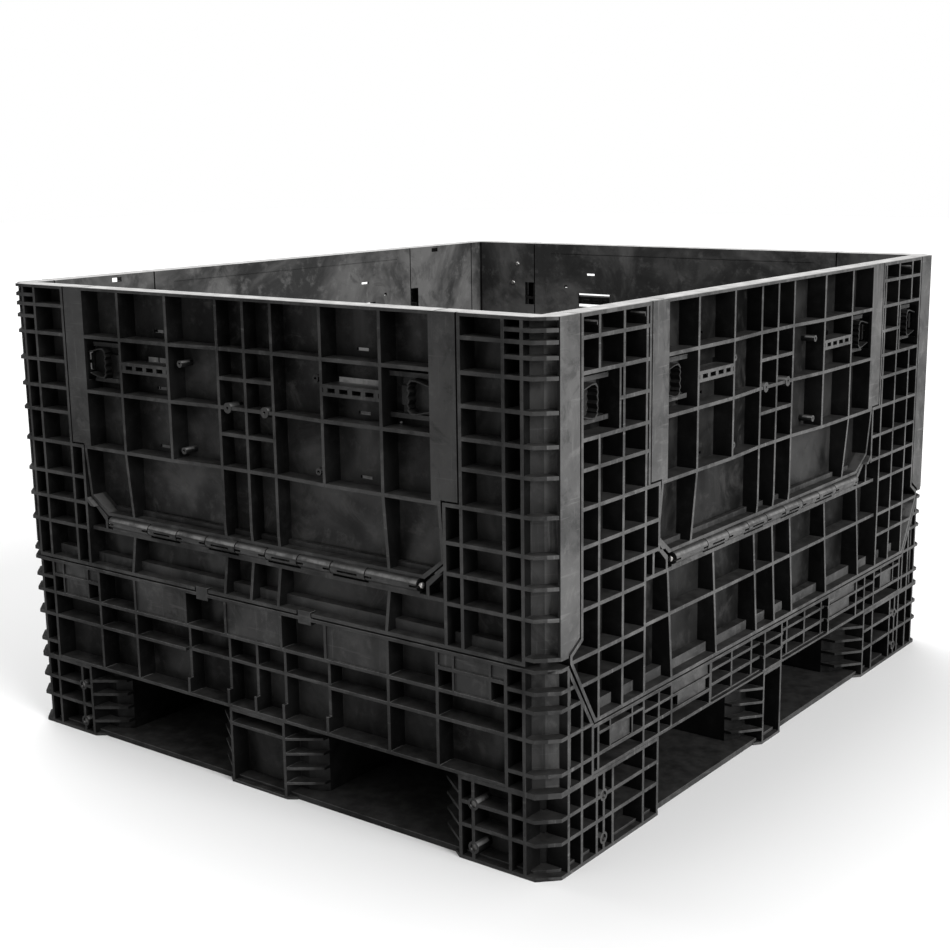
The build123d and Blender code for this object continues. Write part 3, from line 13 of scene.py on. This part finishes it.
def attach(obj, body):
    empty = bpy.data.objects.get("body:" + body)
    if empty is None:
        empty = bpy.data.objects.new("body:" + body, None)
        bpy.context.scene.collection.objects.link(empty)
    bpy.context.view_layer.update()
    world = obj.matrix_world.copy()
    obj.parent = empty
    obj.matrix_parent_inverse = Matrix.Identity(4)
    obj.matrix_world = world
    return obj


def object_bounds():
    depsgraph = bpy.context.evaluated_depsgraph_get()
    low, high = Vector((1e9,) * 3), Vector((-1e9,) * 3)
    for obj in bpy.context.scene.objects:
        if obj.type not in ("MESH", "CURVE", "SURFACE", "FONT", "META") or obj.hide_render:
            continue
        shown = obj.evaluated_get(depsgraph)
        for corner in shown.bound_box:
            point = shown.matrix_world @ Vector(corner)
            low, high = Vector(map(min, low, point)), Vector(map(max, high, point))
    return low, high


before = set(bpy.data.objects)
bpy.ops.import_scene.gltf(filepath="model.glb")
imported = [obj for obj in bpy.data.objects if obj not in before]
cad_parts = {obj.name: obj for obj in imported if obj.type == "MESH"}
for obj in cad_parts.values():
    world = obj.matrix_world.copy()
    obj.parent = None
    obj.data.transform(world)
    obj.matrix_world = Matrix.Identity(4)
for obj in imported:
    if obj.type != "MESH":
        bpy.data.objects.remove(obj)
cad_low, cad_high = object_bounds()

MM = 0.001

# The container's outside
HALF_W = cad_high[0]
HALF_L = cad_high[1]
RIM_Z = cad_high[2]

# Thickness of the walls, and the cut across the container's corners
WALL = 40 * MM
CORNER = 29 * MM

# How far inside the outer faces a point still counts fully as a rib's outer edge, and not at all
EDGES_FULL = 26 * MM
EDGES_NONE = 30 * MM

# How far inside the outer faces the walls' inner faces start to count, and count fully
INNER_NONE = 38 * MM
INNER_FULL = 39.5 * MM

# How far below its top the rim's paleness starts and is full, and how far in its front line ends
RIM_NONE = 1.5 * MM
RIM_FULL = 0.5 * MM
LINE_NONE = 6 * MM
LINE_FULL = 4 * MM

# Small radii of the edges of the mouldings, and of the rods and pins
MOULDED_RADIUS = 0.9 * MM
STEEL_RADIUS = 0.3 * MM
RADIUS_SEGMENTS = 2
RADIUS_ANGLE = 32
WELD_GAP = 0.01 * MM

# Hinge rods: how far in they lie, how high, and how far from the middle they end
ROD_RECESS = 11 * MM
ROD_Z = 426 * MM
ROD_END = 364 * MM


# ---------------------------------------------------------------- shader building


def grey(value, warmth=0.0):
    """A grey, a little warm above zero and a little cool below it."""
    return (value * (1 + warmth), value, value * (1 - warmth))


class Shader:
    """One material, built node by node around its Principled shader."""

    def __init__(self, name):
        self.material = bpy.data.materials.new(name)
        self.material.use_nodes = True
        self.tree = self.material.node_tree
        self.surface = self.tree.nodes["Principled BSDF"]
        self.coords = self.node("ShaderNodeTexCoord")
        self.place = self.coords.outputs["Object"]
        self.x, self.y, self.z = self.split(self.place)
        self.nx, self.ny, self.nz = self.split(self.coords.outputs["Normal"])

    def node(self, kind, **settings):
        made = self.tree.nodes.new(kind)
        for key, value in settings.items():
            setattr(made, key, value)
        return made

    def join(self, source, socket):
        """Link a socket, or set it when the source is a plain value."""
        if isinstance(source, bpy.types.NodeSocket):
            self.tree.links.new(source, socket)
        else:
            socket.default_value = source

    def give(self, **sources):
        """Join values or sockets to the Principled shader's inputs, with _ for a space in a name."""
        for key, source in sources.items():
            self.join(source, self.surface.inputs[key.replace("_", " ")])

    def split(self, vector):
        made = self.node("ShaderNodeSeparateXYZ")
        self.join(vector, made.inputs[0])
        return made.outputs

    def math(self, operation, first, second=0.0):
        made = self.node("ShaderNodeMath", operation=operation)
        self.join(first, made.inputs[0])
        self.join(second, made.inputs[1])
        return made.outputs[0]

    def product(self, first, *others):
        for other in others:
            first = self.math("MULTIPLY", first, other)
        return first

    def ramp(self, value, low, high, start=0.0, end=1.0):
        """Runs smoothly from start to end as value goes from low to high."""
        made = self.node("ShaderNodeMapRange", interpolation_type="SMOOTHSTEP")
        for source, socket in zip((value, low, high, start, end), made.inputs):
            self.join(source, socket)
        return made.outputs[0]

    def noise(self, scale, detail, roughness, distortion=0.0, stretch=(1, 1, 1)):
        """A cloudy pattern of about scale waves to the metre."""
        mapping = self.node("ShaderNodeMapping")
        self.join(self.place, mapping.inputs["Vector"])
        mapping.inputs["Scale"].default_value = stretch
        made = self.node("ShaderNodeTexNoise")
        self.join(mapping.outputs[0], made.inputs["Vector"])
        made.inputs["Scale"].default_value = scale
        made.inputs["Detail"].default_value = detail
        made.inputs["Roughness"].default_value = roughness
        made.inputs["Distortion"].default_value = distortion
        return made.outputs[0]

    def mix(self, factor, first, second):
        """Mixes two colours, given as greys or as sockets."""
        made = self.node("ShaderNodeMix", data_type="RGBA")
        for source, socket in ((factor, 0), (first, 6), (second, 7)):
            if isinstance(source, tuple):
                source = (*source, 1.0)
            self.join(source, made.inputs[socket])
        return made.outputs[2]

    def patches(self, tone, pattern, none, full, share, patch):
        """Lay a grey over a tone: not at all where the pattern is at none, by share where at full."""
        return self.mix(self.ramp(pattern, none, full, 0.0, share), tone, patch)

    def bump(self, height, strength, distance, under=None):
        made = self.node("ShaderNodeBump")
        made.inputs["Strength"].default_value = strength
        made.inputs["Distance"].default_value = distance
        self.join(height, made.inputs["Height"])
        if under:
            self.join(under, made.inputs["Normal"])
        return made.outputs[0]


# ---------------------------------------------------------------- moulded plastic

# How dark the ribs' edges are painted on the ends: painted shade, as the long sides get more light
END_SHADE = 0.38

# Tone of the inner faces, partly painted light, and the darker and the paler tone of the painted light
# on the rim
INNER_TONE = 0.08
RIM_DARK = 0.4
RIM_PALE = 0.56

# Roughness of the smoothest and of the dullest parts, and what the rim's wear adds to it
SMOOTHEST = 0.42
DULLEST = 0.6
RIM_DULLNESS = 0.15

# Scratches, along the container's faces and up them
SCRATCHES = (
    {"scale": 170.0, "stretch": (1.0, 1.0, 0.06)},
    {"scale": 150.0, "stretch": (0.07, 0.07, 1.0)},
)


class Plastic(Shader):
    """A moulding's shader, with the patterns that its tones are made of."""

    def __init__(self, name):
        super().__init__(name)
        self.recess, self.is_end = self.find_recess()
        self.facing = self.find_facing()
        self.cloud = self.noise(5.5, detail=6.0, roughness=0.62, distortion=0.6)
        self.fine = self.noise(38.0, detail=8.0, roughness=0.7)
        self.swirl = self.noise(3.2, detail=3.0, roughness=0.5, distortion=2.4, stretch=(1.0, 1.0, 0.55))
        self.grain = self.noise(900.0, detail=2.0, roughness=0.5)
        self.blotch = self.noise(13.0, detail=7.0, roughness=0.72, distortion=1.0)
        self.soot = self.noise(4.0, detail=5.0, roughness=0.6, distortion=1.2)

    def find_recess(self):
        """How far a point is inside the container's outer faces, and whether the nearest is an end."""
        far_x = self.math("ABSOLUTE", self.x)
        far_y = self.math("ABSOLUTE", self.y)
        in_x = self.math("SUBTRACT", HALF_W, far_x)
        in_y = self.math("SUBTRACT", HALF_L, far_y)
        both = self.math("SUBTRACT", HALF_W + HALF_L - CORNER, self.math("ADD", far_x, far_y))
        in_corner = self.math("MULTIPLY", both, math.sqrt(0.5))
        nearest = self.math("MINIMUM", in_x, in_y)
        is_end = self.math("LESS_THAN", in_y, in_x)
        return self.math("MINIMUM", nearest, in_corner), is_end

    def find_facing(self):
        """1 on what faces out of the container, -1 on what faces into it, 0 on what stands square."""
        out_x = self.math("MULTIPLY", self.nx, self.math("SIGN", self.x))
        out_y = self.math("MULTIPLY", self.ny, self.math("SIGN", self.y))
        end_share = self.math("MULTIPLY", out_y, self.is_end)
        side_share = self.math("MULTIPLY", out_x, self.math("SUBTRACT", 1.0, self.is_end))
        return self.math("ADD", end_share, side_share)

    def deep_tone(self, depth):
        """The cells' walls: dark, with a little dust."""
        return self.mix(self.ramp(self.fine, 0.4, 0.7), grey(depth * 0.7), grey(depth * 1.5))

    def skin_tone(self, skin):
        """The panels' skins: cloudy, with pale swirls where the plastic flowed and dust has settled."""
        tone = self.mix(self.ramp(self.cloud, 0.36, 0.66), grey(skin * 0.4), grey(skin * 1.4, 0.01))
        tone = self.patches(tone, self.swirl, 0.5, 0.66, 0.6, grey(skin * 3.2, 0.015))
        tone = self.patches(tone, self.fine, 0.48, 0.72, 0.4, grey(skin * 3.0, 0.01))
        tone = self.patches(tone, self.blotch, 0.5, 0.36, 0.6, grey(skin * 0.25))
        return self.patches(tone, self.blotch, 0.54, 0.68, 0.6, grey(skin * 4.0, 0.02))

    def inner_tone(self):
        """The inner faces: grey, partly rubbed by the loads and partly painted light from above, with
        soot left in the hollows.
        """
        dark, pale = grey(INNER_TONE * 0.4), grey(INNER_TONE * 1.45, 0.01)
        tone = self.mix(self.ramp(self.soot, 0.38, 0.64), dark, pale)
        tone = self.patches(tone, self.blotch, 0.52, 0.36, 0.55, grey(INNER_TONE * 0.3))
        return self.patches(tone, self.fine, 0.5, 0.75, 0.5, grey(INNER_TONE * 2.2, 0.01))

    def front_tone(self, front, wear):
        """The ribs' outer edges and the flat strips: scuffed and scratched grey, in painted shade on the
        ends.
        """
        dark, pale = grey(front * 0.55), grey(front * 1.25, 0.01)
        tone = self.mix(self.ramp(self.cloud, 0.35, 0.68), dark, pale)
        tone = self.patches(tone, self.fine, 0.5, 0.72, 0.45, grey(front * 1.9, 0.01))
        tone = self.patches(tone, self.blotch, 0.5, 0.37, 0.55, grey(front * 0.3))
        tone = self.patches(tone, self.blotch, 0.56, 0.7, 0.5, grey(front * 1.9, 0.015))
        for run in SCRATCHES:
            scratch = self.noise(detail=3.0, roughness=0.6, distortion=0.3, **run)
            tone = self.patches(tone, scratch, 0.6, 0.74, 0.5 * wear, grey(front * 2.1, 0.01))
        # Painted shade: the ends are darkened, as they get less light than the long sides
        return self.mix(self.product(self.is_end, 1 - END_SHADE), tone, grey(0.0))

    def painted_rim_light(self):
        """The rim's top: painted pale, as lit from above."""
        return self.mix(self.ramp(self.fine, 0.4, 0.66), grey(RIM_DARK, 0.01), grey(RIM_PALE, 0.01))


def moulded_plastic(name, depth, skin, front, top, wear=1.0, gloss=0.0):
    """Black moulded polyethylene.

    depth, skin, front and top are the tones of the cells' walls, of the panels' skins, of the
    ribs' outer edges and of what faces up, partly dust and partly painted light. wear scales the
    scuffs and the edges' painted highlight, and gloss takes off roughness.
    """
    s = Plastic(name)
    flat_on = s.ramp(s.math("ABSOLUTE", s.facing), 0.6, 0.9)
    colour = s.mix(flat_on, s.deep_tone(depth), s.skin_tone(skin))

    # The inner faces take the paler inner tone, partly painted light that falls in from above
    inwards = s.ramp(s.facing, -0.6, -0.85)
    at_inner_face = s.ramp(s.recess, INNER_NONE, INNER_FULL)
    colour = s.mix(s.product(inwards, at_inner_face), colour, s.inner_tone())

    near = s.ramp(s.recess, EDGES_NONE, EDGES_FULL)
    outwards = s.ramp(s.facing, 0.55, 0.8)
    colour = s.mix(s.product(near, outwards), colour, s.front_tone(front, wear))

    # The ribs' rounded upper edges, between upright and level, are painted pale: partly wear, partly a
    # painted highlight from above
    past_upright = s.ramp(s.nz, 0.25, 0.45)
    short_of_level = s.ramp(s.nz, 0.95, 0.8)
    rub_and_highlight = s.ramp(s.fine, 0.35, 0.6, 0.2 * wear, 0.8 * wear)
    wear_and_highlight = s.product(past_upright, short_of_level, near, rub_and_highlight)
    colour = s.mix(wear_and_highlight, colour, grey(front * 2.4, 0.01))

    # What faces up is painted paler: partly dust, partly painted light from above
    up = s.ramp(s.nz, 0.6, 0.9)
    dust_and_top_light = s.product(up, s.ramp(s.fine, 0.3, 0.65, 0.35, 1.0))
    colour = s.mix(dust_and_top_light, colour, grey(top, 0.015))

    # Painted light: the rim's top is painted pale as lit from above, with a darker line at its front
    rim = s.product(up, s.ramp(s.z, RIM_Z - RIM_NONE, RIM_Z - RIM_FULL))
    line = s.product(rim, s.ramp(s.recess, LINE_NONE, LINE_FULL, 0.0, 0.6))
    colour = s.mix(rim, colour, s.painted_rim_light())
    colour = s.mix(line, colour, grey(front * 1.8))

    rough = s.ramp(s.cloud, 0.3, 0.7, SMOOTHEST - gloss, DULLEST - gloss)
    rough = s.math("ADD", rough, s.product(rim, RIM_DULLNESS))

    # The sheen comes and goes with the swirls and the fine wear
    sheen = s.ramp(s.swirl, 0.36, 0.66, 0.05, 0.2)
    sheen = s.math("ADD", sheen, s.ramp(s.fine, 0.5, 0.72, 0.0, 0.06))

    waves = s.bump(s.cloud, strength=0.25, distance=1.2 * MM)
    relief = s.bump(s.grain, strength=0.16, distance=0.15 * MM, under=waves)
    s.give(Base_Color=colour, Roughness=rough, Specular_IOR_Level=sheen, Normal=relief)
    return s.material


# ---------------------------------------------------------------- steel and floor


def worn_steel(name, tone, rough):
    """Dulled zinc-plated steel."""
    s = Shader(name)
    bloom = s.noise(60.0, detail=6.0, roughness=0.65)
    fine = s.noise(420.0, detail=3.0, roughness=0.5)
    s.give(
        Base_Color=s.mix(s.ramp(bloom, 0.35, 0.7), grey(tone * 0.55, 0.04), grey(tone, 0.01)),
        Roughness=s.ramp(bloom, 0.3, 0.7, rough - 0.1, rough + 0.15),
        Metallic=1.0,
        Normal=s.bump(fine, strength=0.2, distance=0.1 * MM),
    )
    return s.material


def floor_paint(name):
    """A plain pale studio floor, very slightly uneven."""
    s = Shader(name)
    cloud = s.noise(0.9, detail=3.0, roughness=0.5)
    s.give(Base_Color=s.mix(cloud, grey(0.86), grey(0.9)), Roughness=0.75, Specular_IOR_Level=0.2)
    return s.material


wall_plastic = moulded_plastic("wall_plastic", depth=0.0035, skin=0.008, front=0.07, top=0.035)
door_plastic = moulded_plastic("door_plastic", depth=0.0035, skin=0.0095, front=0.07, top=0.035)
base_plastic = moulded_plastic(
    "base_plastic", depth=0.0028, skin=0.006, front=0.055, top=0.03, wear=1.3)
skid_plastic = moulded_plastic(
    "skid_plastic", depth=0.006, skin=0.012, front=0.04, top=0.03, wear=1.5)
latch_plastic = moulded_plastic(
    "latch_plastic", depth=0.003, skin=0.005, front=0.025, top=0.02, wear=0.2, gloss=0.12)
rod_steel = worn_steel("rod_steel", tone=0.62, rough=0.34)
pin_steel = worn_steel("pin_steel", tone=0.16, rough=0.5)


# ---------------------------------------------------------------- the CAD pieces


def node_material(node):
    """The material of a CAD node, by what it is."""
    if node.endswith("_rod"):
        return rod_steel
    if node.endswith("_pins"):
        return pin_steel
    if "latch" in node:
        return latch_plastic
    if node.startswith("door"):
        return door_plastic
    if node.startswith("skid"):
        return skid_plastic
    if node.startswith("base"):
        return base_plastic
    return wall_plastic


def finish_node(piece, material):
    """Give a CAD piece its material and the small radii of its edges."""
    piece.data.materials.clear()
    piece.data.materials.append(material)
    weld = piece.modifiers.new("weld", "WELD")
    weld.merge_threshold = WELD_GAP
    bevel = piece.modifiers.new("edge_radii", "BEVEL")
    bevel.width = STEEL_RADIUS if material in (rod_steel, pin_steel) else MOULDED_RADIUS
    bevel.segments = RADIUS_SEGMENTS
    bevel.limit_method = "ANGLE"
    bevel.angle_limit = math.radians(RADIUS_ANGLE)
    bevel.harden_normals = True
    bevel.use_clamp_overlap = True


for name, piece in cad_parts.items():
    finish_node(piece, node_material(name))


# ---------------------------------------------------------------- small fittings

# The heads' profiles in millimetres, from foot to top: distance along the axis, and radius
ROD_HEAD = ((0.0, 5.2), (1.4, 5.2), (2.2, 4.6), (2.8, 3.2), (3.0, 1.2))
SCREW_HEAD = ((0.0, 5.5), (0.8, 5.5), (1.8, 4.8), (2.5, 3.4), (2.7, 1.6), (1.6, 1.4))
HEAD_STEPS = 20
HEAD_EDGE_ANGLE = 40

# The screws on an end wall's inner face: how far from its middle, and how high
WALL_SCREWS = ((453 * MM, 798 * MM), (467 * MM, 751 * MM))

BODY_OF_ROD = {"front": "base", "rear": "base", "right": "side_wall_right", "left": "side_wall_left"}


def turned(mesh, profile, spot, axis):
    """Add a round piece, with its foot at a spot and its axis along a direction."""
    turn = Vector((0, 0, 1)).rotation_difference(Vector(axis)).to_matrix().to_4x4()
    move = Matrix.Translation(spot) @ turn
    rings = []
    for along, radius in profile:
        ring = []
        for step in range(HEAD_STEPS):
            angle = 2 * math.pi * step / HEAD_STEPS
            point = Vector((radius * math.cos(angle), radius * math.sin(angle), along)) * MM
            ring.append(mesh.verts.new(move @ point))
        rings.append(ring)
    for low, high in zip(rings, rings[1:]):
        for step in range(HEAD_STEPS):
            after = (step + 1) % HEAD_STEPS
            mesh.faces.new((low[step], low[after], high[after], high[step]))
    mesh.faces.new(list(reversed(rings[0])))
    mesh.faces.new(rings[-1])


def fitting(name, mesh, material, body):
    """Turn a bmesh into a piece that rides on a body."""
    data = bpy.data.meshes.new(name)
    bmesh.ops.recalc_face_normals(mesh, faces=mesh.faces)
    mesh.to_mesh(data)
    mesh.free()
    for face in data.polygons:
        face.use_smooth = True
    data.set_sharp_from_angle(angle=math.radians(HEAD_EDGE_ANGLE))
    data.materials.append(material)
    piece = bpy.data.objects.new(name, data)
    bpy.context.scene.collection.objects.link(piece)
    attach(piece, body)


def on_face(face, u, recess, z):
    """A point on one of the four outer faces: u runs along it and recess goes inwards."""
    along = {
        "front": (u, -HALF_L + recess),
        "rear": (-u, HALF_L - recess),
        "right": (HALF_W - recess, u),
        "left": (-HALF_W + recess, -u),
    }[face]
    return Vector((*along, z))


for face, body in BODY_OF_ROD.items():
    mesh = bmesh.new()
    for side in (-1, 1):
        spot = on_face(face, side * ROD_END, ROD_RECESS, ROD_Z)
        away = on_face(face, side, 0, 0) - on_face(face, 0, 0, 0)
        turned(mesh, ROD_HEAD, spot, away)
    fitting(f"door_{face}_rod_heads", mesh, rod_steel, body)

for face in ("front", "rear"):
    mesh = bmesh.new()
    inwards = on_face(face, 0, 1, 0) - on_face(face, 0, 0, 0)
    for side in (-1, 1):
        for u, z in WALL_SCREWS:
            turned(mesh, SCREW_HEAD, on_face(face, side * u, WALL, z), inwards)
    fitting(f"end_wall_{face}_screws", mesh, rod_steel, "base")


# ---------------------------------------------------------------- studio

FLOOR_SIZE = 40.0

# Strength of the light from the horizon and from overhead, and of the background as it is seen
HORIZON_LIGHT = 0.35
ZENITH_LIGHT = 0.8
BACKGROUND_LIGHT = 1.0
WHITE = (1.0, 1.0, 1.0, 1.0)

# The camera stands off the front right corner, a little above the rim. Its turn from +Y towards
# -X, how far it looks down and its roll are in radians
CAMERA_PLACE = (1.7931, -2.4477, 1.0760)
CAMERA_TURN = 0.6519
CAMERA_DOWN = 0.2098
CAMERA_ROLL = -0.0137
CAMERA_LENS = 57.57
CAMERA_SENSOR = 36.0
CAMERA_RANGE = 100.0


def make_floor():
    bpy.ops.mesh.primitive_plane_add(size=FLOOR_SIZE, location=(0, 0, 0))
    floor = bpy.context.object
    floor.name = "floor"
    floor.data.materials.append(floor_paint("floor_paint"))


def soft_sun(name, azimuth, elevation, strength, spread):
    """A broad, even light from far off. Azimuth is the way it comes from, in degrees from +X."""
    data = bpy.data.lights.new(name, "SUN")
    data.energy = strength
    data.angle = math.radians(spread)
    lamp = bpy.data.objects.new(name, data)
    turn, rise = math.radians(azimuth), math.radians(elevation)
    level = math.cos(rise)
    towards = Vector((math.cos(turn) * level, math.sin(turn) * level, math.sin(rise)))
    lamp.rotation_euler = towards.to_track_quat("Z", "Y").to_euler()
    bpy.context.scene.collection.objects.link(lamp)


def make_camera():
    level = math.cos(CAMERA_DOWN)
    down = -math.sin(CAMERA_DOWN)
    ahead = Vector((-math.sin(CAMERA_TURN) * level, math.cos(CAMERA_TURN) * level, down))
    right = Vector((math.cos(CAMERA_TURN), math.sin(CAMERA_TURN), 0.0))
    above = right.cross(ahead)
    rolled_right = right * math.cos(CAMERA_ROLL) + above * math.sin(CAMERA_ROLL)
    rolled_above = above * math.cos(CAMERA_ROLL) - right * math.sin(CAMERA_ROLL)
    data = bpy.data.cameras.new("camera")
    data.sensor_width = CAMERA_SENSOR
    data.lens = CAMERA_LENS
    data.clip_end = CAMERA_RANGE
    camera = bpy.data.objects.new("camera", data)
    turn = Matrix((rolled_right, rolled_above, -ahead)).transposed().to_4x4()
    camera.matrix_world = Matrix.Translation(CAMERA_PLACE) @ turn
    bpy.context.scene.collection.objects.link(camera)
    bpy.context.scene.camera = camera


def make_world():
    """Soft light that is strongest overhead, in front of a plain white background."""
    world = bpy.data.worlds.new("studio")
    world.use_nodes = True
    tree = world.node_tree
    background = tree.nodes["Background"]
    background.inputs["Color"].default_value = WHITE
    coords = tree.nodes.new("ShaderNodeTexCoord")
    split = tree.nodes.new("ShaderNodeSeparateXYZ")
    height = tree.nodes.new("ShaderNodeMapRange")
    height.inputs["To Min"].default_value = HORIZON_LIGHT
    height.inputs["To Max"].default_value = ZENITH_LIGHT
    ray = tree.nodes.new("ShaderNodeLightPath")
    shown = tree.nodes.new("ShaderNodeMix")
    shown.data_type = "FLOAT"
    shown.inputs["B"].default_value = BACKGROUND_LIGHT
    tree.links.new(coords.outputs["Generated"], split.inputs[0])
    tree.links.new(split.outputs["Z"], height.inputs["Value"])
    tree.links.new(ray.outputs["Is Camera Ray"], shown.inputs["Factor"])
    tree.links.new(height.outputs["Result"], shown.inputs["A"])
    tree.links.new(shown.outputs["Result"], background.inputs["Strength"])
    bpy.context.scene.world = world
    bpy.context.scene.view_settings.view_transform = "Standard"


make_floor()
soft_sun("side", azimuth=-8.0, elevation=24.0, strength=3.2, spread=35.0)
soft_sun("front", azimuth=-112.0, elevation=38.0, strength=0.2, spread=50.0)
soft_sun("top", azimuth=150.0, elevation=62.0, strength=1.4, spread=40.0)
make_world()
make_camera()
